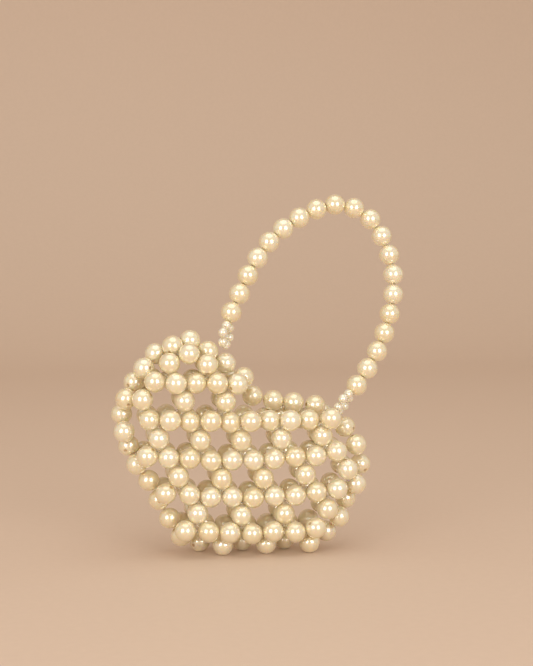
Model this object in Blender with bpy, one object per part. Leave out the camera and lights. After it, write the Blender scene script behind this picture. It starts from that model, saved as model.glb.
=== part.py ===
"""A small heart-shaped basket bag woven from pearl beads, with an arched strung handle.

Metres, +Z up. The heart stands on one of its straight sides, its face looks along -Y, and the
origin is on the ground at the middle of the object's width and depth. The body is a hexagonal bead
weave: five rows of beads in each face, single link beads between the rows, and one chain of beads
round the edge that joins the two faces. Every strand is one solid: beads on the line that holds them.
"""

import math

import bmesh
import bpy
import numpy as np
from mathutils import Matrix, Vector

# Driving dimensions, in metres.
BEAD = 0.0100  # diameter of a large pearl
PITCH = 0.01025  # from one woven pearl to the next
SEED = 0.0046  # diameter of a seed pearl
SEED_PITCH = 0.0047
LINE = 0.0012  # the doubled nylon line between pearls
MIN_GAP = 0.00005  # left between any two pearls after they have settled

# Lengths below are in pitches, measured from the middle of the base chain: x to the right, z up.
# A strand across a face sags: first x and height, middle height, last x and height, number of pearls,
# and how far every second pearl stands out where they are crowded.
FACE_ROWS = (
    (-2.78, 0.90, 0.64, 3.22, 0.78, 7, 0.00),
    (-3.62, 2.66, 2.24, 4.28, 2.56, 9, 0.00),
    (-4.56, 4.32, 4.00, 4.22, 4.34, 10, 0.00),
    (-4.44, 5.98, 5.84, 3.86, 5.76, 10, 0.28),
    (-4.26, 7.70, 7.62, -0.38, 7.54, 5, 0.20),
)
# The single pearls between two strands, in the same way.
FACE_LINKS = (
    (-2.28, 1.54, 1.42, 3.76, 1.70, 4, 0.00),
    (-3.15, 3.24, 3.11, 4.77, 3.47, 5, 0.00),
    (-4.12, 5.12, 5.00, 3.58, 5.14, 5, 0.00),
    (-4.76, 6.84, 6.75, -0.96, 6.66, 3, 0.00),
)
CROWN = ((-3.47, 8.45), (-2.60, 8.92), (-1.82, 8.45))  # the strand over the taller lobe
FACE_DEPTH = 0.80  # the face rows' distance from the middle plane, near the edge
FOOT_DEPTH = 0.20  # how much further out the lowest row is, where the bag spreads as it stands
FACE_BULGE = 0.13  # how much further out the middle of the face is
BULGE_REACH = 3.0  # distance from the edge at which the bulge is full

# The heart's outline through the edge chain, anticlockwise from the base's left corner: x, height,
# how far the pearls step to either side of the middle plane, and the step from one to the next.
OUTLINE = (
    (-2.95, 0.38, 0.00, 1.00),
    (-2.05, 0.00, 0.50, 1.00),
    (0.00, 0.00, 0.50, 1.00),
    (2.95, 0.00, 0.50, 1.00),
    (4.03, 0.45, 0.15, 0.96),
    (4.72, 1.55, 0.30, 0.86),
    (5.32, 2.75, 0.30, 0.86),
    (5.60, 3.45, 0.26, 0.98),
    (5.38, 4.36, 0.16, 1.02),
    (4.98, 5.14, 0.08, 0.98),
    (4.36, 5.75, 0.00, 2.85),
    (3.62, 6.10, 0.00, 0.98),
    (2.90, 6.30, 0.00, 0.96),
    (2.10, 6.42, 0.00, 1.00),
    (0.66, 6.68, 0.00, 1.04),
    (0.11, 7.56, 0.00, 1.06),
    (-0.60, 8.24, 0.00, 1.06),
    (-1.45, 8.80, 0.02, 1.00),
    (-2.35, 9.34, 0.26, 0.84),
    (-3.35, 9.18, 0.28, 0.80),
    (-4.30, 8.50, 0.30, 0.80),
    (-5.10, 7.40, 0.32, 0.78),
    (-5.62, 6.30, 0.32, 0.76),
    (-5.62, 5.55, 0.32, 0.76),
    (-5.35, 4.65, 0.32, 0.78),
    (-5.00, 3.90, 0.20, 0.92),
    (-4.40, 2.95, 0.00, 1.00),
    (-3.55, 1.35, 0.00, 1.00),
)
MOUTH_SETBACK = 0.62  # the mouth's edge pearls lie this far towards the back face
MOUTH_SPAN = (0.30, 4.00)  # the mouth lies over the lower lobe, from the notch to the right ring
LOBE_FROM = 6.0  # height above which the left side's edge belongs to the taller lobe

# In metres: from the middle of the base chain to the middle of the whole width and depth.
ORIGIN_X = 0.00924
ORIGIN_Y = 0.00431

# Handle: ring centres, and the arch that its pearls follow, as if it stood straight up.
LEFT_RING = (-0.82, 9.74)
RIGHT_RING = (4.74, 6.50)
RING_TURN = 60.0  # degrees that each ring is turned out of the middle plane
HANDLE_ROUTE = (
    (-0.53, 10.80), (0.81, 13.33), (2.42, 14.99), (4.84, 16.02), (6.72, 15.16), (7.59, 12.49),
    (6.86, 9.52), (5.44, 7.30),
)  # fmt: skip
HANDLE_LEAN = 14.0  # degrees that the handle leans back, about the line through its two rings
HANDLE_PEARLS = 20
SEEDS_IN_RING = 6

PEARL_COLOUR = (0.89, 0.80, 0.60, 1.0)
SIDES = 8  # of a pearl's cross-section


# --- where the pearls lie -------------------------------------------------------------------


def smooth_curve(points, closed, steps=24):
    """A Catmull-Rom curve through the points, as many short steps."""
    points = np.array(points, float)
    count = len(points)
    spans = range(count if closed else count - 1)
    made = []
    for i in spans:
        if closed:
            before, start, end, after = (points[(i + k) % count] for k in (-1, 0, 1, 2))
        else:
            before, start, end, after = (points[min(max(i + k, 0), count - 1)] for k in (-1, 0, 1, 2))
        for t in np.linspace(0.0, 1.0, steps, endpoint=False):
            made.append(
                0.5
                * (
                    2 * start
                    + (end - before) * t
                    + (2 * before - 5 * start + 4 * end - after) * t**2
                    + (3 * start - before - 3 * end + after) * t**3
                )
            )
    made.append(points[0] if closed else points[-1])
    return np.array(made)


def evenly(curve, count, steps=None):
    """This many points along the curve, at equal distances or at distances in ratio to the steps."""
    lengths = np.linalg.norm(np.diff(curve[:, :2], axis=0), axis=1)
    if steps is not None:
        lengths = lengths / (steps[1:] + steps[:-1]) * 2
    reached = np.concatenate([[0.0], np.cumsum(lengths)])
    count = count or round(reached[-1])
    stops = np.linspace(0.0, reached[-1], count, endpoint=steps is None)
    return np.stack([np.interp(stops, reached, column) for column in curve.T], axis=1)


def face_depth(x, z, curve):
    from_edge = np.linalg.norm(curve[:, :2] - np.array([x, z]), axis=1).min()
    share = min(from_edge / BULGE_REACH, 1.0)
    return FACE_DEPTH + FACE_BULGE * share * (2.0 - share)


def sagging(first, first_height, middle_height, last, last_height, count, zigzag):
    """Even steps across a face on a shallow curve through three heights: x, height, extra depth."""
    places = []
    sag = (last_height + first_height) / 2 - middle_height
    for k, t in enumerate(np.linspace(-1.0, 1.0, count)):
        height = middle_height + (last_height - first_height) / 2 * t + sag * t * t
        places.append((first + (last - first) * (t + 1) / 2, height, zigzag * (k % 2)))
    return places


def face_strands(curve):
    """{name: places} of the front face's strands and single pearls, in pitches."""
    strands = {}
    for number, row in enumerate(FACE_ROWS, 1):
        strands[f"row_{number}"] = sagging(*row)
    for number, row in enumerate(FACE_LINKS, 1):
        for k, place in enumerate(sagging(*row), 1):
            strands[f"link_{number}_{k}"] = [place]
    strands["crown"] = [(x, z, 0.0) for x, z in CROWN]
    strands["row_1"] = [(x, z, FOOT_DEPTH) for x, z, _ in strands["row_1"]]
    return {
        name: [(x, -face_depth(x, z, curve) - extra, z) for x, z, extra in places]
        for name, places in strands.items()
    }


def edge_strands(curve):
    """{name: places} of the edge chain, split at the corners of the heart and at the mouth."""
    strands = {}
    side = 1
    for x, z, stagger, _ in evenly(curve, None, curve[:, 3]):
        side = -side
        y = side * stagger
        if z < 0.15:
            name = "base_chain"
        elif MOUTH_SPAN[0] < x < MOUTH_SPAN[1] and z > LOBE_FROM:
            name, y = "mouth_edge", MOUTH_SETBACK
        elif x > MOUTH_SPAN[0]:
            name = "right_side"
        else:
            name = "left_lobe_edge" if z > LOBE_FROM else "left_side"
        strands.setdefault(name, []).append((x, y, z))
    # The walk starts at the foot of the left side, so that strand is put back in order.
    strands["left_side"].sort(key=lambda place: place[2])
    return strands


def settle(strands):
    """Moves pearls that overlap apart, a little at a time, as they do when the line is drawn up."""
    names = [name for name, places in strands.items() for _ in places]
    at = np.array([place for places in strands.values() for place in places])
    floor = np.array([name == "base_chain" for name in names])
    least = (BEAD + MIN_GAP) / PITCH
    for _ in range(200):
        apart = at[:, None] - at[None]
        distance = np.linalg.norm(apart, axis=2)
        np.fill_diagonal(distance, 9.0)
        short = np.clip(least - distance, 0.0, None)
        if short.max() < 1e-4:
            break
        at += 0.5 * (apart / distance[..., None] * short[..., None]).sum(axis=1)
        at[floor, 2] = 0.0
    settled, start = {}, 0
    for name, places in strands.items():
        settled[name] = at[start : start + len(places)]
        start += len(places)
    print(f"{len(at)} pearls settled, closest {distance.min() * PITCH * 1000:.2f} mm apart")
    return settled


def all_strands():
    curve = smooth_curve(OUTLINE, closed=True)
    strands = edge_strands(curve)
    for name, places in face_strands(curve).items():
        strands[f"front_{name}"] = places
        strands[f"back_{name}"] = [(x, -y, z) for x, y, z in places]
    return settle(strands)


def to_world(place):
    x, y, z = place
    return Vector((x * PITCH - ORIGIN_X, y * PITCH - ORIGIN_Y, z * PITCH + BEAD / 2))


# --- making the solids ----------------------------------------------------------------------


def pearl_material(name):
    material = bpy.data.materials.new(name)
    material.use_nodes = True
    shader = material.node_tree.nodes["Principled BSDF"]
    shader.inputs["Base Color"].default_value = PEARL_COLOUR
    shader.inputs["Roughness"].default_value = 0.25
    shader.inputs["Metallic"].default_value = 0.0
    material.diffuse_color = PEARL_COLOUR
    return material


def keep(obj, name):
    obj.name = name
    obj.data.name = name
    obj.data.materials.append(pearl_material(name))
    PARTS.objects.link(obj)
    return obj


def single_pearl(name, place):
    """A pearl on its own, between two rows."""
    mesh = bpy.data.meshes.new(name)
    form = bmesh.new()
    bmesh.ops.create_uvsphere(form, u_segments=SIDES, v_segments=6, radius=BEAD / 2)
    form.to_mesh(mesh)
    form.free()
    mesh.shade_smooth()
    obj = bpy.data.objects.new(name, mesh)
    obj.location = to_world(place)
    return keep(obj, name)


def bead_stations(centres, bead, closed):
    """Points and radii along a strand: each pearl is four short cones, and the line shows between."""
    quarter = bead / 2 * math.sin(math.pi / 4)
    stations = []
    count = len(centres)
    for i, centre in enumerate(centres):
        first = i == 0 and not closed
        last = i == count - 1 and not closed
        ahead = None if last else (centres[(i + 1) % count] - centre) / 2
        behind = ahead if first else (centre - centres[i - 1]) / 2
        ahead = ahead or behind
        back, on = behind.normalized(), ahead.normalized()
        if first:
            stations.append((centre - back * bead / 2, LINE / 2))
        stations.append((centre - back * quarter, quarter))
        stations.append((centre, bead / 2))
        stations.append((centre + on * quarter, quarter))
        stations.append((centre + on * bead / 2 if last else centre + ahead, LINE / 2))
    return stations


def strand(name, centres, bead=BEAD, closed=False, parent=None):
    """Pearls strung on a line, as one tube whose radius swells at each pearl."""
    curve = bpy.data.curves.new(name, "CURVE")
    curve.dimensions = "3D"
    curve.bevel_depth = 1.0
    curve.bevel_resolution = SIDES // 4
    curve.use_fill_caps = True
    curve.twist_mode = "MINIMUM"
    stations = bead_stations(centres, bead, closed)
    spline = curve.splines.new("POLY")
    spline.points.add(len(stations) - 1)
    for point, (at, radius) in zip(spline.points, stations):
        point.co = (*at, 1.0)
        point.radius = radius
    spline.use_cyclic_u = closed
    obj = bpy.data.objects.new(name, curve)
    keep(obj, name)
    if parent:
        obj.parent = parent
        obj.matrix_parent_inverse = Matrix.Translation(-parent.location)
    return obj


def on_middle_plane(x, z):
    return to_world((x, 0.0, z))


def ring_centres(centre, towards):
    """The seed pearls of a ring that is turned about the handle's line, two of them astride it."""
    radius = SEED_PITCH / 2 / math.sin(math.pi / SEEDS_IN_RING)
    along = towards.normalized()
    across = Matrix.Rotation(math.radians(RING_TURN), 3, along) @ along.cross(Vector((0.0, 1.0, 0.0)))
    turns = [(k + 0.5) * 2 * math.pi / SEEDS_IN_RING for k in range(SEEDS_IN_RING)]
    return [centre + radius * (math.cos(t) * along + math.sin(t) * across) for t in turns]


def handle():
    """The strung arch and its two seed rings, under an empty on the axis they swing about."""
    left, right = on_middle_plane(*LEFT_RING), on_middle_plane(*RIGHT_RING)
    axis = (right - left).normalized()
    lean = Matrix.Rotation(math.radians(-HANDLE_LEAN), 3, axis)
    upright = evenly(smooth_curve(HANDLE_ROUTE, closed=False), HANDLE_PEARLS)
    pearls = [left + lean @ (on_middle_plane(x, z) - left) for x, z in upright]
    print(f"handle pearls {(pearls[1] - pearls[0]).length * 1000:.2f} mm apart")
    print("handle axis", tuple(round(v, 6) for v in axis))
    print("through", [tuple(round(v, 5) for v in p) for p in (left, (left + right) / 2, right)])
    hinge = bpy.data.objects.new("handle_pivot", None)
    hinge.location = (left + right) / 2
    PARTS.objects.link(hinge)
    strand("handle_strand", pearls, parent=hinge)
    strand("left_seed_ring", ring_centres(left, pearls[0] - left), SEED, True, hinge)
    strand("right_seed_ring", ring_centres(right, pearls[-1] - right), SEED, True, hinge)


for old in list(bpy.data.objects):
    bpy.data.objects.remove(old, do_unlink=True)
PARTS = bpy.data.collections.new("pearl_basket")
bpy.context.scene.collection.children.link(PARTS)

for strand_name, strand_places in all_strands().items():
    if len(strand_places) == 1:
        single_pearl(strand_name, strand_places[0])
    else:
        strand(strand_name, [to_world(place) for place in strand_places])
handle()
print(len([o for o in PARTS.objects if o.type != "EMPTY"]), "nodes")
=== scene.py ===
# %% [markdown]
# # A heart-shaped pearl bag, woven pearl by pearl
# The bag is a bead weave: one size of imitation pearl, strung on clear nylon line in hexagons, with
# nothing behind it. Its look comes from three things, so they are built with care: where each
# pearl lies, which way its drilled hole points, and the pearl lacquer itself. The frame holds the
# bag's size and the axis that the handle swings about, and everything below is built to fit it.

# %% The frame
import math

import bpy
import bmesh
import numpy as np
from mathutils import Matrix, Vector


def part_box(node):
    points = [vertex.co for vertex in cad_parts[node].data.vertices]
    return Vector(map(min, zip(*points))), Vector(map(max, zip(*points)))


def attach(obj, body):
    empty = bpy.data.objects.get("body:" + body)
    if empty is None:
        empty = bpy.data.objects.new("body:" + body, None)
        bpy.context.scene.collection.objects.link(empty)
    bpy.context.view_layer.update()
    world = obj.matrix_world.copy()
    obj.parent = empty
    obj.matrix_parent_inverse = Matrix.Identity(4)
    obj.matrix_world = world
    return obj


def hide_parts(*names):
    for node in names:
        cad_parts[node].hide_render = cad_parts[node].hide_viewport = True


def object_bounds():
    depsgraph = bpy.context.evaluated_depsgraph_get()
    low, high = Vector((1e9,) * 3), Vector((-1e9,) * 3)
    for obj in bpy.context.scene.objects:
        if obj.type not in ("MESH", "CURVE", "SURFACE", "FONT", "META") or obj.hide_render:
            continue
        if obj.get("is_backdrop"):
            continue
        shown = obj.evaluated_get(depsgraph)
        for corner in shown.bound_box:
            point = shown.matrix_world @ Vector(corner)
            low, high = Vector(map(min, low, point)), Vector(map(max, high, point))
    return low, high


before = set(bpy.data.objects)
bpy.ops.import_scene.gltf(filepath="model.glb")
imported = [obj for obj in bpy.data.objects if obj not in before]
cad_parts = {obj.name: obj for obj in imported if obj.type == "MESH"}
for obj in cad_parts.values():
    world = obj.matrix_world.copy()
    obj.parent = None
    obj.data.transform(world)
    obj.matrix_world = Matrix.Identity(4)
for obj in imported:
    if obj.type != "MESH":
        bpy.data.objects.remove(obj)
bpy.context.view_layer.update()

# %% [markdown]
# ## Sizes
# A bead worker counts in pearls, so the layout is written in pitches: the distance from one woven
# pearl to the next. Only these few lengths are in metres. The pearls are as large as the frame's own
# solids and lie where they do. Only the line is thinner than the frame's, because real nylon is.

# %% Sizes
PEARL = 0.0100  # diameter of a large pearl
PITCH = 0.01025  # from one woven pearl to the next
SEED = 0.0046  # diameter of a seed pearl
SEED_PITCH = 0.0047
LINE = 0.00045  # diameter of the clear nylon line
MIN_GAP = 0.00005  # left between any two pearls after they have settled

# Lengths below are in pitches, measured from the middle of the base chain: x to the right, z up.
# A strand across a face sags: first x and height, middle height, last x and height, number of pearls,
# and how far every second pearl stands out where they are crowded.
FACE_ROWS = (
    (-2.78, 0.90, 0.64, 3.22, 0.78, 7, 0.00),
    (-3.62, 2.66, 2.24, 4.28, 2.56, 9, 0.00),
    (-4.56, 4.32, 4.00, 4.22, 4.34, 10, 0.00),
    (-4.44, 5.98, 5.84, 3.86, 5.76, 10, 0.28),
    (-4.26, 7.70, 7.62, -0.38, 7.54, 5, 0.20),
)
# The single pearls between two strands, in the same way.
FACE_LINKS = (
    (-2.28, 1.54, 1.42, 3.76, 1.70, 4, 0.00),
    (-3.15, 3.24, 3.11, 4.77, 3.47, 5, 0.00),
    (-4.12, 5.12, 5.00, 3.58, 5.14, 5, 0.00),
    (-4.76, 6.84, 6.75, -0.96, 6.66, 3, 0.00),
)
CROWN = ((-3.47, 8.45), (-2.60, 8.92), (-1.82, 8.45))  # the strand over the taller lobe
FACE_DEPTH = 0.80  # the face rows' distance from the middle plane, near the edge
FOOT_DEPTH = 0.20  # how much further out the lowest row is, where the bag spreads as it stands
FACE_BULGE = 0.13  # how much further out the middle of the face is
BULGE_REACH = 3.0  # distance from the edge at which the bulge is full

# The heart's outline through the edge chain, anticlockwise from the base's left corner: x, height,
# how far the pearls step to either side of the middle plane, and the step from one to the next.
OUTLINE = (
    (-2.95, 0.38, 0.00, 1.00),
    (-2.05, 0.00, 0.50, 1.00),
    (0.00, 0.00, 0.50, 1.00),
    (2.95, 0.00, 0.50, 1.00),
    (4.03, 0.45, 0.15, 0.96),
    (4.72, 1.55, 0.30, 0.86),
    (5.32, 2.75, 0.30, 0.86),
    (5.60, 3.45, 0.26, 0.98),
    (5.38, 4.36, 0.16, 1.02),
    (4.98, 5.14, 0.08, 0.98),
    (4.36, 5.75, 0.00, 2.85),
    (3.62, 6.10, 0.00, 0.98),
    (2.90, 6.30, 0.00, 0.96),
    (2.10, 6.42, 0.00, 1.00),
    (0.66, 6.68, 0.00, 1.04),
    (0.11, 7.56, 0.00, 1.06),
    (-0.60, 8.24, 0.00, 1.06),
    (-1.45, 8.80, 0.02, 1.00),
    (-2.35, 9.34, 0.26, 0.84),
    (-3.35, 9.18, 0.28, 0.80),
    (-4.30, 8.50, 0.30, 0.80),
    (-5.10, 7.40, 0.32, 0.78),
    (-5.62, 6.30, 0.32, 0.76),
    (-5.62, 5.55, 0.32, 0.76),
    (-5.35, 4.65, 0.32, 0.78),
    (-5.00, 3.90, 0.20, 0.92),
    (-4.40, 2.95, 0.00, 1.00),
    (-3.55, 1.35, 0.00, 1.00),
)
MOUTH_SETBACK = 0.62  # the mouth's edge pearls lie this far towards the back face
MOUTH_SPAN = (0.30, 4.00)  # the mouth lies over the lower lobe, from the notch to the right ring
LOBE_FROM = 6.0  # height above which the left side's edge belongs to the taller lobe

# In metres: from the middle of the base chain to the middle of the whole width and depth.
ORIGIN_X = 0.00924
ORIGIN_Y = 0.00431

# Handle: ring centres, and the arch that its pearls follow, as if it stood straight up.
LEFT_RING = (-0.82, 9.74)
RIGHT_RING = (4.74, 6.50)
RING_TURN = 60.0  # degrees that each ring is turned out of the middle plane
HANDLE_ROUTE = (
    (-0.53, 10.80), (0.81, 13.33), (2.42, 14.99), (4.84, 16.02), (6.72, 15.16), (7.59, 12.49),
    (6.86, 9.52), (5.44, 7.30),
)  # fmt: skip
HANDLE_LEAN = 14.0  # degrees that the handle leans back, about the line through its two rings
HANDLE_PEARLS = 20
SEEDS_IN_RING = 6

# %% [markdown]
# ## Where the pearls lie
# Typing in two hundred places by hand would hold mistakes that nobody can see. Instead the edge
# chain is walked round a smooth heart outline, the rows are spaced between their two ends, and the
# faces bulge away from the middle plane. A short settling step then pushes apart any two pearls
# that are closer than their own diameter, which is what drawing the line tight does on the bench.


# %% A smooth curve and even steps along it
def smooth_curve(points, closed, steps=24):
    """A Catmull-Rom curve through the points, as many short steps."""
    points = np.array(points, float)
    count = len(points)
    made = []
    for i in range(count if closed else count - 1):
        if closed:
            before, start, end, after = (points[(i + k) % count] for k in (-1, 0, 1, 2))
        else:
            before, start, end, after = (points[min(max(i + k, 0), count - 1)] for k in (-1, 0, 1, 2))
        for t in np.linspace(0.0, 1.0, steps, endpoint=False):
            square = 2 * before - 5 * start + 4 * end - after
            cube = 3 * start - before - 3 * end + after
            made.append(0.5 * (2 * start + (end - before) * t + square * t**2 + cube * t**3))
    made.append(points[0] if closed else points[-1])
    return np.array(made)


def evenly(curve, count, steps=None):
    """This many points along the curve, at equal distances or at distances in ratio to the steps."""
    lengths = np.linalg.norm(np.diff(curve[:, :2], axis=0), axis=1)
    if steps is not None:
        lengths = lengths / (steps[1:] + steps[:-1]) * 2
    reached = np.concatenate([[0.0], np.cumsum(lengths)])
    count = count or round(reached[-1])
    stops = np.linspace(0.0, reached[-1], count, endpoint=steps is None)
    return np.stack([np.interp(stops, reached, column) for column in curve.T], axis=1)


# %% The two faces and the edge chain
outline = smooth_curve(OUTLINE, closed=True)


def face_depth(x, z):
    from_edge = np.linalg.norm(outline[:, :2] - np.array([x, z]), axis=1).min()
    share = min(from_edge / BULGE_REACH, 1.0)
    return FACE_DEPTH + FACE_BULGE * share * (2.0 - share)


def sagging(first, first_height, middle_height, last, last_height, count, zigzag):
    """Even steps across a face on a shallow curve through three heights: x, height, extra depth."""
    places = []
    sag = (last_height + first_height) / 2 - middle_height
    for k, t in enumerate(np.linspace(-1.0, 1.0, count)):
        height = middle_height + (last_height - first_height) / 2 * t + sag * t * t
        places.append((first + (last - first) * (t + 1) / 2, height, zigzag * (k % 2)))
    return places


def face_strands():
    """{name: places} of the front face's strands and single pearls, in pitches."""
    strands = {}
    for number, row in enumerate(FACE_ROWS, 1):
        strands[f"row_{number}"] = sagging(*row)
    for number, row in enumerate(FACE_LINKS, 1):
        for k, place in enumerate(sagging(*row), 1):
            strands[f"link_{number}_{k}"] = [place]
    strands["crown"] = [(x, z, 0.0) for x, z in CROWN]
    strands["row_1"] = [(x, z, FOOT_DEPTH) for x, z, _ in strands["row_1"]]
    return {
        name: [(x, -face_depth(x, z) - extra, z) for x, z, extra in places]
        for name, places in strands.items()
    }


def edge_strands():
    """{name: places} of the edge chain, split at the corners of the heart and at the mouth."""
    strands = {}
    side = 1
    for x, z, stagger, _ in evenly(outline, None, outline[:, 3]):
        side = -side
        y = side * stagger
        if z < 0.15:
            name = "base_chain"
        elif MOUTH_SPAN[0] < x < MOUTH_SPAN[1] and z > LOBE_FROM:
            name, y = "mouth_edge", MOUTH_SETBACK
        elif x > MOUTH_SPAN[0]:
            name = "right_side"
        else:
            name = "left_lobe_edge" if z > LOBE_FROM else "left_side"
        strands.setdefault(name, []).append((x, y, z))
    # The walk starts at the foot of the left side, so that strand is put back in order.
    strands["left_side"].sort(key=lambda place: place[2])
    return strands


# %% Settling
def settle(strands):
    """Moves pearls that overlap apart, a little at a time, as they do when the line is drawn up."""
    names = [name for name, places in strands.items() for _ in places]
    at = np.array([place for places in strands.values() for place in places])
    floor = np.array([name == "base_chain" for name in names])
    least = (PEARL + MIN_GAP) / PITCH
    for _ in range(200):
        apart = at[:, None] - at[None]
        distance = np.linalg.norm(apart, axis=2)
        np.fill_diagonal(distance, 9.0)
        short = np.clip(least - distance, 0.0, None)
        if short.max() < 1e-4:
            break
        at += 0.5 * (apart / distance[..., None] * short[..., None]).sum(axis=1)
        at[floor, 2] = 0.0
    settled, start = {}, 0
    for name, places in strands.items():
        settled[name] = at[start : start + len(places)]
        start += len(places)
    print(f"{len(at)} pearls settled, closest {distance.min() * PITCH * 1000:.2f} mm apart")
    return settled


woven = edge_strands()
for strand, places in face_strands().items():
    woven[f"front_{strand}"] = places
    woven[f"back_{strand}"] = [(x, -y, z) for x, y, z in places]
woven = settle(woven)
print(sum(map(len, woven.values())), "woven pearls in", len(woven), "strands")


# %% From pitches to the frame's metres
def in_metres(place):
    x, y, z = place
    return Vector((x * PITCH - ORIGIN_X, y * PITCH - ORIGIN_Y, z * PITCH + PEARL / 2))


woven = {name: [in_metres(place) for place in places] for name, places in woven.items()}
left_ring, right_ring = (in_metres((x, 0.0, z)) for x, z in (LEFT_RING, RIGHT_RING))
lean = Matrix.Rotation(math.radians(-HANDLE_LEAN), 3, right_ring - left_ring)
arch = evenly(smooth_curve(HANDLE_ROUTE, closed=False), HANDLE_PEARLS)
handle_pearls = [left_ring + lean @ (in_metres((x, 0.0, z)) - left_ring) for x, z in arch]


def ring_places(centre, towards):
    """The seed pearls of a ring that is turned about the handle's line, two of them astride it."""
    radius = SEED_PITCH / 2 / math.sin(math.pi / SEEDS_IN_RING)
    along = towards.normalized()
    across = Matrix.Rotation(math.radians(RING_TURN), 3, along) @ along.cross(Vector((0.0, 1.0, 0.0)))
    turns = [(k + 0.5) * 2 * math.pi / SEEDS_IN_RING for k in range(SEEDS_IN_RING)]
    return [centre + radius * (math.cos(t) * along + math.sin(t) * across) for t in turns]


rings = {
    "left": ring_places(left_ring, handle_pearls[0] - left_ring),
    "right": ring_places(right_ring, handle_pearls[-1] - right_ring),
}
for node, places in (("front_row_3", woven["front_row_3"]), ("handle_strand", handle_pearls)):
    low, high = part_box(node)
    off = min(p.x for p in places) - PEARL / 2 - low.x
    print(f"{node}: first pearl is {1000 * off:.2f} mm from the frame's")

# %% [markdown]
# ## Which way each hole points
# In this weave every pearl lies between two junctions, and at each junction three pearls meet round
# a tiny triangle of line. A pearl's hole runs from one junction to the other, so the holes of a row
# zigzag by thirty degrees and those of the link pearls stand upright. Finding the triangles also
# tells where the line shows, so both come from one search over neighbouring pearls.

# %% Junctions
JUNCTION_REACH = 1.16 * PITCH  # pearls nearer than this share a junction
all_places = [p for places in woven.values() for p in places]
near = {
    i: [j for j, q in enumerate(all_places) if j != i and (q - p).length < JUNCTION_REACH]
    for i, p in enumerate(all_places)
}
triangles = [
    (i, j, k) for i in near for j in near[i] if j > i for k in near[j] if k > j and k in near[i]
]
junctions = [(sum((all_places[i] for i in three), Vector()) / 3, three) for three in triangles]
print(len(junctions), "junctions of three pearls")


def hole_axis(i):
    """From one junction of a pearl to the one most nearly opposite, or between its two neighbours."""
    here = all_places[i]
    ways = [(spot - here).normalized() for spot, three in junctions if i in three]
    if len(ways) < 2:
        others = sorted(all_places, key=lambda place: (place - here).length)[1:3]
        ways += [(place - here).normalized() for place in others]
    best = min((a.dot(b), n, m) for n, a in enumerate(ways) for m, b in enumerate(ways) if m > n)
    return (ways[best[1]] - ways[best[2]]).normalized()


woven_axes, count = {}, 0
for name, places in woven.items():
    woven_axes[name] = [hole_axis(count + k) for k in range(len(places))]
    count += len(places)


# %% [markdown]
# ## Materials
# Each finish starts from what the real thing is. The colours are the hex values a picture editor
# shows, so one function turns them into the linear numbers that shaders use, and one small function
# adds a node with its settings and links.


# %% Colour and node helpers
def linear(hex_colour):
    """An sRGB hex colour as linear red, green, blue and alpha."""
    parts = [int(hex_colour[k : k + 2], 16) / 255 for k in (1, 3, 5)]
    return [p / 12.92 if p <= 0.04045 else ((p + 0.055) / 1.055) ** 2.4 for p in parts] + [1.0]


def add(tree, kind, inputs=None, **settings):
    """Adds a node. An input is given a value, or an output of another node to link it to."""
    node = tree.nodes.new(kind)
    for key, value in settings.items():
        setattr(node, key, value)
    for key, value in (inputs or {}).items():
        if isinstance(value, bpy.types.NodeSocket):
            tree.links.new(value, node.inputs[key])
        else:
            node.inputs[key].default_value = value
    return node


def new_material(name):
    material = bpy.data.materials.new(name)
    material.use_nodes = True
    tree = material.node_tree
    tree.nodes.clear()
    return material, tree


# %% [markdown]
# ### Imitation pearl
# The pearls are moulded ABS dipped in a pearl lacquer: mica flakes in a cream binder under a clear
# top coat. The eye gets three things from it. The flakes give a soft, wide, slightly metallic glow.
# The topmost flakes are titanium dioxide on mica and lie flat under the coat, so the surface acts
# as one with their high index, about 2.7, and shows a sharp, bright image of each lamp. And light
# goes a little way into the cream and out again, which warms the gaps between pearls. Dipping is
# never even, so each pearl has its own shade, faint clouds two or three millimetres wide and a
# thicker, darker ring of lacquer round its drilled hole.


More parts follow.
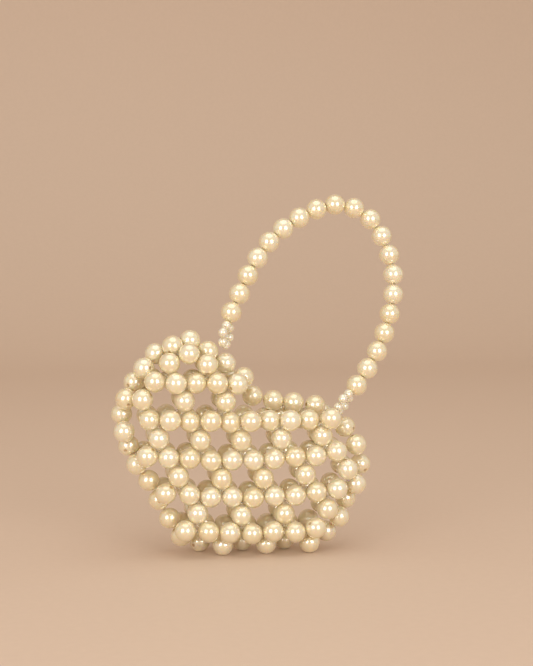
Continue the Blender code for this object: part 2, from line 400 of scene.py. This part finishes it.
# %% Pearl lacquer
def pearl_lacquer(name, pale, deep, amber):
    """ABS pearl in nacre lacquer: soft flake glow, sharp clear coat, warm light from inside."""
    material, tree = new_material(name)
    place = add(tree, "ShaderNodeTexCoord").outputs["Object"]
    # Clouds where the dip ran thick and thin, about 2.8 mm wide.
    clouds = add(tree, "ShaderNodeTexNoise", {"Vector": place, "Scale": 1 / 0.0028, "Detail": 3.0})
    shade = add(tree, "ShaderNodeAttribute", attribute_name="pearl_shade")
    depth = add(
        tree,
        "ShaderNodeMath",
        {0: clouds.outputs["Fac"], 1: 0.35, 2: shade.outputs["Fac"]},
        operation="MULTIPLY_ADD",
        use_clamp=True,
    )
    body = add(
        tree,
        "ShaderNodeMix",
        {"Factor": depth.outputs[0], 6: linear(pale), 7: linear(deep)},
        data_type="RGBA",
    )
    # The lacquer gathers in a ring round the drilled hole; the amber over the hole's mouth is painted
    # shade.
    toward = add(tree, "ShaderNodeAttribute", attribute_name="toward_hole")
    lacquer_ring_and_painted_hole_shade = add(
        tree,
        "ShaderNodeMapRange",
        {"Value": toward.outputs["Fac"], "From Min": 0.968, "From Max": 0.999},
        interpolation_type="SMOOTHSTEP",
    )
    colour = add(
        tree,
        "ShaderNodeMix",
        {"Factor": lacquer_ring_and_painted_hole_shade.outputs["Result"], 6: body.outputs[2], 7: linear(amber)},
        data_type="RGBA",
    )
    # Flakes lie more or less flat, so the soft glow is a little uneven.
    flakes = add(tree, "ShaderNodeTexNoise", {"Vector": place, "Scale": 1 / 0.0006, "Detail": 2.0})
    roughness = add(
        tree, "ShaderNodeMapRange", {"Value": flakes.outputs["Fac"], "To Min": 0.17, "To Max": 0.25}
    )
    # Orange peel in the dipped coat: waves 1.2 mm long and a few microns high.
    waves = add(tree, "ShaderNodeTexNoise", {"Vector": place, "Scale": 1 / 0.0012, "Detail": 1.0})
    peel = add(
        tree,
        "ShaderNodeBump",
        {"Height": waves.outputs["Fac"], "Strength": 0.12, "Distance": 0.00004},
    )
    shader = add(
        tree,
        "ShaderNodeBsdfPrincipled",
        {
            "Base Color": colour.outputs[2],
            "Roughness": roughness.outputs["Result"],
            "Metallic": 0.30,
            "IOR": 1.52,
            "Normal": peel.outputs["Normal"],
            "Coat Normal": peel.outputs["Normal"],
            "Subsurface Weight": 0.55,
            "Subsurface Radius": (1.0, 0.78, 0.40),
            "Subsurface Scale": 0.0034,
            "Coat Weight": 1.0,
            "Coat Roughness": 0.025,
            "Coat IOR": 2.7,
            "Sheen Weight": 0.70,
            "Sheen Roughness": 0.35,
            "Sheen Tint": linear("#FFF2C8"),
        },
    )
    add(tree, "ShaderNodeOutputMaterial", {"Surface": shader.outputs["BSDF"]})
    return material


# The third colour is the lacquer ring round each hole, and also painted shade over the hole's mouth.
large_pearl = pearl_lacquer("ivory_pearl_lacquer_on_ABS", "#F8F0D8", "#EFDFB4", "#C2A064")
seed_pearl = pearl_lacquer("ivory_seed_pearl_lacquer", "#F6F1E2", "#EFE4C8", "#C2A064")
print("materials:", large_pearl.name, seed_pearl.name)

# %% [markdown]
# ### Clear nylon line
# Monofilament is drawn nylon: smooth, almost colourless and clear, so it is only seen where it
# catches a lamp between two pearls. A transmitting shader with nylon's own IOR does that.


# %% Nylon line
def clear_nylon():
    material, tree = new_material("clear_nylon_monofilament")
    place = add(tree, "ShaderNodeTexCoord").outputs["Object"]
    # Drawing leaves the line very slightly uneven along its length, over about a millimetre.
    draw = add(tree, "ShaderNodeTexNoise", {"Vector": place, "Scale": 1 / 0.001})
    roughness = add(
        tree, "ShaderNodeMapRange", {"Value": draw.outputs["Fac"], "To Min": 0.08, "To Max": 0.2}
    )
    shader = add(
        tree,
        "ShaderNodeBsdfPrincipled",
        {
            "Base Color": linear("#F4EFE2"),
            "Roughness": roughness.outputs["Result"],
            "IOR": 1.53,
            "Transmission Weight": 0.75,
        },
    )
    add(tree, "ShaderNodeOutputMaterial", {"Surface": shader.outputs["BSDF"]})
    return material


nylon = clear_nylon()

# %% [markdown]
# ## The pearls
# Copies of one pearl could be placed by a Python loop, but then every change to the pearl would mean
# making them all again. Geometry Nodes do it in one tree: a sphere, its poles dimpled into a drilled
# hole, is put on every vertex of a small mesh that holds only the places and the hole directions.
# A pearl is seen close up and only some two hundred times, so it has enough faces for a round rim.


# %% A tree that puts a drilled pearl on every vertex
def start_tree(name, sockets):
    tree = bpy.data.node_groups.new(name, "GeometryNodeTree")
    tree.interface.new_socket("Geometry", in_out="OUTPUT", socket_type="NodeSocketGeometry")
    tree.interface.new_socket("Geometry", in_out="INPUT", socket_type="NodeSocketGeometry")
    for label, kind in sockets.items():
        tree.interface.new_socket(label, in_out="INPUT", socket_type="NodeSocket" + kind)
    return tree, add(tree, "NodeGroupInput").outputs


def end_tree(tree, instances, material):
    """Every tree ends the same way: real geometry, with its material."""
    real = add(tree, "GeometryNodeRealizeInstances", {"Geometry": instances})
    done = add(tree, "GeometryNodeSetMaterial", {"Geometry": real.outputs[0], "Material": material})
    add(tree, "NodeGroupOutput", {"Geometry": done.outputs[0]})
    return tree


def pearl_tree():
    tree, given = start_tree(
        "pearls_on_points",
        {
            "Diameter": "Float",
            "Around": "Int",
            "Along": "Int",
            "Hole depth": "Float",
            "Shade seed": "Int",
            "Material": "Material",
        },
    )
    radius = add(tree, "ShaderNodeMath", {0: given["Diameter"], 1: 0.5}, operation="MULTIPLY")
    ball = add(
        tree,
        "GeometryNodeMeshUVSphere",
        {"Segments": given["Around"], "Rings": given["Along"], "Radius": radius.outputs[0]},
    )
    spot = add(tree, "ShaderNodeSeparateXYZ", {0: add(tree, "GeometryNodeInputPosition").outputs[0]})
    height = add(tree, "ShaderNodeMath", {0: spot.outputs["Z"]}, operation="ABSOLUTE")
    toward = add(
        tree, "ShaderNodeMath", {0: height.outputs[0], 1: radius.outputs[0]}, operation="DIVIDE"
    )
    marked = add(
        tree,
        "GeometryNodeStoreNamedAttribute",
        {"Geometry": ball.outputs["Mesh"], "Name": "toward_hole", "Value": toward.outputs[0]},
        data_type="FLOAT",
        domain="POINT",
    )
    # Only the pole vertex is past 0.999 of the radius: pulled in, it makes the mouth of the hole.
    pole = add(tree, "FunctionNodeCompare", {"A": toward.outputs[0], "B": 0.999}, operation="GREATER_THAN")
    inward = add(tree, "ShaderNodeMath", {0: given["Hole depth"], 1: -1.0}, operation="MULTIPLY")
    up = add(tree, "ShaderNodeMath", {0: spot.outputs["Z"]}, operation="SIGN")
    pull = add(tree, "ShaderNodeMath", {0: up.outputs[0], 1: inward.outputs[0]}, operation="MULTIPLY")
    drilled = add(
        tree,
        "GeometryNodeSetPosition",
        {
            "Geometry": marked.outputs[0],
            "Selection": pole.outputs[0],
            "Offset": add(tree, "ShaderNodeCombineXYZ", {"Z": pull.outputs[0]}).outputs[0],
        },
    )
    smooth = add(tree, "GeometryNodeSetShadeSmooth", {"Geometry": drilled.outputs[0]})
    axis = add(tree, "GeometryNodeInputNamedAttribute", {"Name": "hole_axis"}, data_type="FLOAT_VECTOR")
    aim = add(tree, "FunctionNodeAlignRotationToVector", {"Vector": axis.outputs[0]}, axis="Z")
    placed = add(
        tree,
        "GeometryNodeInstanceOnPoints",
        {"Points": given["Geometry"], "Instance": smooth.outputs[0], "Rotation": aim.outputs[0]},
    )
    shade = add(
        tree,
        "FunctionNodeRandomValue",
        {"Min": 0.0, "Max": 0.55, "Seed": given["Shade seed"]},
        data_type="FLOAT",
    )
    shaded = add(
        tree,
        "GeometryNodeStoreNamedAttribute",
        {"Geometry": placed.outputs[0], "Name": "pearl_shade", "Value": shade.outputs["Value"]},
        data_type="FLOAT",
        domain="INSTANCE",
    )
    return end_tree(tree, shaded.outputs[0], given["Material"])


pearls_on_points = pearl_tree()


# %% Growing a piece from a tree
def grow(name, tree, inputs, vertices, edges=(), axes=None):
    """A plain mesh object grown by the tree on these vertices and edges."""
    seedling = bpy.data.meshes.new(name)
    seedling.from_pydata([tuple(v) for v in vertices], list(edges), [])
    if axes:
        held = seedling.attributes.new("hole_axis", "FLOAT_VECTOR", "POINT")
        held.data.foreach_set("vector", [c for axis in axes for c in axis])
    holder = bpy.data.objects.new(name, seedling)
    bpy.context.scene.collection.objects.link(holder)
    modifier = holder.modifiers.new("grow", "NODES")
    modifier.node_group = tree
    for item in tree.interface.items_tree:
        if item.in_out == "INPUT" and item.name in inputs:
            modifier[item.identifier] = inputs[item.name]
    holder.update_tag()
    grown = holder.evaluated_get(bpy.context.evaluated_depsgraph_get())
    mesh = bpy.data.meshes.new_from_object(grown)
    mesh.name = name
    bpy.data.objects.remove(holder)
    bpy.data.meshes.remove(seedling)
    piece = bpy.data.objects.new(name, mesh)
    bpy.context.scene.collection.objects.link(piece)
    return piece


LARGE = {"Diameter": PEARL, "Around": 24, "Along": 22, "Hole depth": 0.0012, "Material": large_pearl}
SMALL = {"Diameter": SEED, "Around": 16, "Along": 14, "Hole depth": 0.0006, "Material": seed_pearl}


def pearls(name, places, axes, kind, seed, body, nodes):
    """A strand of finished pearls that stands for these frame nodes."""
    piece = grow(name, pearls_on_points, {**kind, "Shade seed": seed}, places, axes=axes)
    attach(piece, body)
    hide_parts(*nodes)
    return piece


# %% [markdown]
# ## Stringing the bag
# Each strand is its own piece, named for where it lies, and takes the place of the frame's plain
# solid. The single pearls between two rows are one piece for each face and each gap, because they
# are too many to name one by one and they never move against each other.

# %% The woven strands
face_count = 0
for seed, (strand, places) in enumerate(woven.items()):
    if "_link_" not in strand:
        piece = pearls(
            f"{strand}_pearls", places, woven_axes[strand], LARGE, seed, "bag", [strand]
        )
        face_count += len(piece.data.polygons)
for face in ("front", "back"):
    for gap in range(1, len(FACE_LINKS) + 1):
        nodes = [name for name in woven if name.startswith(f"{face}_link_{gap}_")]
        places = [woven[name][0] for name in nodes]
        axes = [woven_axes[name][0] for name in nodes]
        seed = 100 + gap if face == "front" else 200 + gap
        piece = pearls(f"{face}_link_pearls_{gap}", places, axes, LARGE, seed, "bag", nodes)
        face_count += len(piece.data.polygons)
print("woven pearls hold", face_count, "faces")


# %% [markdown]
# ## The handle
# The handle's pearls are strung end to end, so each hole points along the line. The ring seeds are
# strung the same way round their small circle.


# %% Handle strand and seed rings
def along_line(places, closed=False):
    """The direction of the line through each pearl of a strand."""
    count = len(places)
    before = [places[i - 1] if i or closed else places[0] for i in range(count)]
    after = [places[(i + 1) % count] if i < count - 1 or closed else places[-1] for i in range(count)]
    return [(b - a).normalized() for a, b in zip(before, after)]


pearls(
    "handle_pearls", handle_pearls, along_line(handle_pearls), LARGE, 300, "handle",
    ["handle_strand"],
)  # fmt: skip
for seed, (side, places) in enumerate(rings.items(), 301):
    pearls(
        f"{side}_ring_seed_pearls", places, along_line(places, True), SMALL, seed, "handle",
        [f"{side}_seed_ring"],
    )  # fmt: skip


# %% [markdown]
# ## The line
# The line only shows between pearls: as three short spokes at every junction of the weave, and as a
# glint between neighbours on the handle. It is a tube round the edges of a wire mesh, so a second
# small tree turns any set of edges into line.


# %% A tree that turns edges into line
def line_tree():
    tree, given = start_tree(
        "line_on_edges", {"Thickness": "Float", "Sides": "Int", "Material": "Material"}
    )
    radius = add(tree, "ShaderNodeMath", {0: given["Thickness"], 1: 0.5}, operation="MULTIPLY")
    path = add(tree, "GeometryNodeMeshToCurve", {"Mesh": given["Geometry"]})
    ring = add(
        tree,
        "GeometryNodeCurvePrimitiveCircle",
        {"Resolution": given["Sides"], "Radius": radius.outputs[0]},
    )
    tube = add(
        tree,
        "GeometryNodeCurveToMesh",
        {"Curve": path.outputs[0], "Profile Curve": ring.outputs["Curve"], "Fill Caps": True},
    )
    smooth = add(tree, "GeometryNodeSetShadeSmooth", {"Geometry": tube.outputs[0]})
    return end_tree(tree, smooth.outputs[0], given["Material"])


line_on_edges = line_tree()


def line(name, vertices, edges, body):
    settings = {"Thickness": LINE, "Sides": 8, "Material": nylon}
    piece = grow(name, line_on_edges, settings, vertices, edges)
    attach(piece, body)
    return piece


# %% Spokes at the junctions, and the handle's line
INTO_PEARL = 0.6  # how far a spoke runs from its junction towards each pearl's centre
spots, spokes = [], []
for spot, three in junctions:
    hub = len(spots)
    spots.append(spot)
    for i in three:
        spots.append(spot.lerp(all_places[i], INTO_PEARL))
        spokes.append((hub, len(spots) - 1))
# The base chain's pearls stand apart, so its line shows all the way between them.
first = len(spots)
spots += woven["base_chain"]
spokes += [(k, k + 1) for k in range(first, len(spots) - 1)]
line("weaving_line", spots, spokes, "bag")

route = list(handle_pearls)
edges = [(i, i + 1) for i in range(len(route) - 1)]
for side, end in (("left", 0), ("right", len(handle_pearls) - 1)):
    first = len(route)
    route += rings[side]
    edges += [(first + k, first + (k + 1) % SEEDS_IN_RING) for k in range(SEEDS_IN_RING)]
    nearest = sorted(range(SEEDS_IN_RING), key=lambda k: (rings[side][k] - handle_pearls[end]).length)
    edges += [(end, first + nearest[0])]
line("handle_line", route, edges, "handle")

# %% [markdown]
# ## Floor, light and camera
# Pearls show their surroundings, so the light is what makes them look like pearls. Two oval soft
# boxes stand left and right of the camera and put the pair of bright spots on every pearl. A wide,
# dim panel overhead lifts the tops, and the pale floor fills the undersides from below.


# %% Floor with a coved back
def matt_paper():
    material, tree = new_material("matt_backdrop_paper")
    place = add(tree, "ShaderNodeTexCoord").outputs["Object"]
    fibre = add(tree, "ShaderNodeTexNoise", {"Vector": place, "Scale": 1 / 0.004, "Detail": 4.0})
    tone = add(
        tree,
        "ShaderNodeMix",
        {"Factor": fibre.outputs["Fac"], 6: linear("#E1CBB9"), 7: linear("#DCC6B4")},
        data_type="RGBA",
    )
    shader = add(
        tree, "ShaderNodeBsdfPrincipled", {"Base Color": tone.outputs[2], "Roughness": 0.55}
    )
    add(tree, "ShaderNodeOutputMaterial", {"Surface": shader.outputs["BSDF"]})
    return material


def coved_floor(front, back, half_width, cove, height):
    """One sheet: level floor, a quarter-round cove at the back, and a wall."""
    profile = [(-front, 0.0)]
    profile += [
        (back + cove * math.sin(t), cove * (1 - math.cos(t))) for t in np.linspace(0, math.pi / 2, 17)
    ]
    profile.append((back + cove, height))
    form = bmesh.new()
    rows = [[form.verts.new((x, y, z)) for y, z in profile] for x in (-half_width, half_width)]
    for k in range(len(profile) - 1):
        form.faces.new((rows[0][k], rows[1][k], rows[1][k + 1], rows[0][k + 1]))
    mesh = bpy.data.meshes.new("floor")
    form.to_mesh(mesh)
    form.free()
    mesh.shade_smooth()
    mesh.materials.append(matt_paper())
    floor = bpy.data.objects.new("floor", mesh)
    bpy.context.scene.collection.objects.link(floor)
    floor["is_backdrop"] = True


coved_floor(front=2.5, back=0.9, half_width=3.0, cove=0.5, height=3.0)

# %% Camera
YAW = math.radians(-8.5)  # the camera stands a little to the left of the face
RISE = math.radians(4.0)
DISTANCE = 0.70
AIM = in_metres((1.07, 0.0, 9.81))  # what lies at the middle of the picture
PICTURE_HEIGHT = 31.0 * PITCH  # how much of the bag's plane the picture holds from foot to head

camera_data = bpy.data.cameras.new("camera")
camera_data.sensor_width = 36.0
camera_data.lens = camera_data.sensor_width * DISTANCE / PICTURE_HEIGHT
camera_data.clip_start = 0.05
camera = bpy.data.objects.new("camera", camera_data)
away = Vector((math.sin(YAW) * math.cos(RISE), -math.cos(YAW) * math.cos(RISE), math.sin(RISE)))
camera.location = AIM + away * DISTANCE
camera.rotation_euler = (-away).to_track_quat("-Z", "Y").to_euler()
bpy.context.scene.collection.objects.link(camera)
bpy.context.scene.camera = camera
print(f"camera lens {camera_data.lens:.0f} mm")


# %% Lights
def soft_light(name, turn, rise, distance, width, height, power, colour):
    """An oval area light at this turn and rise round the aim point, facing it."""
    data = bpy.data.lights.new(name, "AREA")
    data.shape = "ELLIPSE"
    data.size = width
    data.size_y = height
    data.energy = power
    data.color = linear(colour)[:3]
    lamp = bpy.data.objects.new(name, data)
    turn, rise = math.radians(turn), math.radians(rise)
    way = Vector((math.sin(turn) * math.cos(rise), -math.cos(turn) * math.cos(rise), math.sin(rise)))
    lamp.location = AIM + way * distance
    lamp.rotation_euler = (-way).to_track_quat("-Z", "Y").to_euler()
    bpy.context.scene.collection.objects.link(lamp)


CAMERA_TURN = math.degrees(YAW)
soft_light("left_soft_box", CAMERA_TURN - 30, 9, 1.0, 0.56, 0.76, 3.0, "#FFFAF4")
soft_light("right_soft_box", CAMERA_TURN + 30, 9, 1.0, 0.56, 0.76, 3.0, "#FFFAF4")
soft_light("overhead_panel", 0, 80, 1.3, 1.4, 1.4, 3.6, "#FFFBF4")

world = bpy.data.worlds.new("room")
world.use_nodes = True
world.node_tree.nodes["Background"].inputs["Color"].default_value = linear("#E6DBCD")
world.node_tree.nodes["Background"].inputs["Strength"].default_value = 0.84
bpy.context.scene.world = world
bpy.context.scene.view_settings.view_transform = "Standard"

low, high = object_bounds()
print("visual:", [round(1000 * side, 1) for side in high - low], "mm")
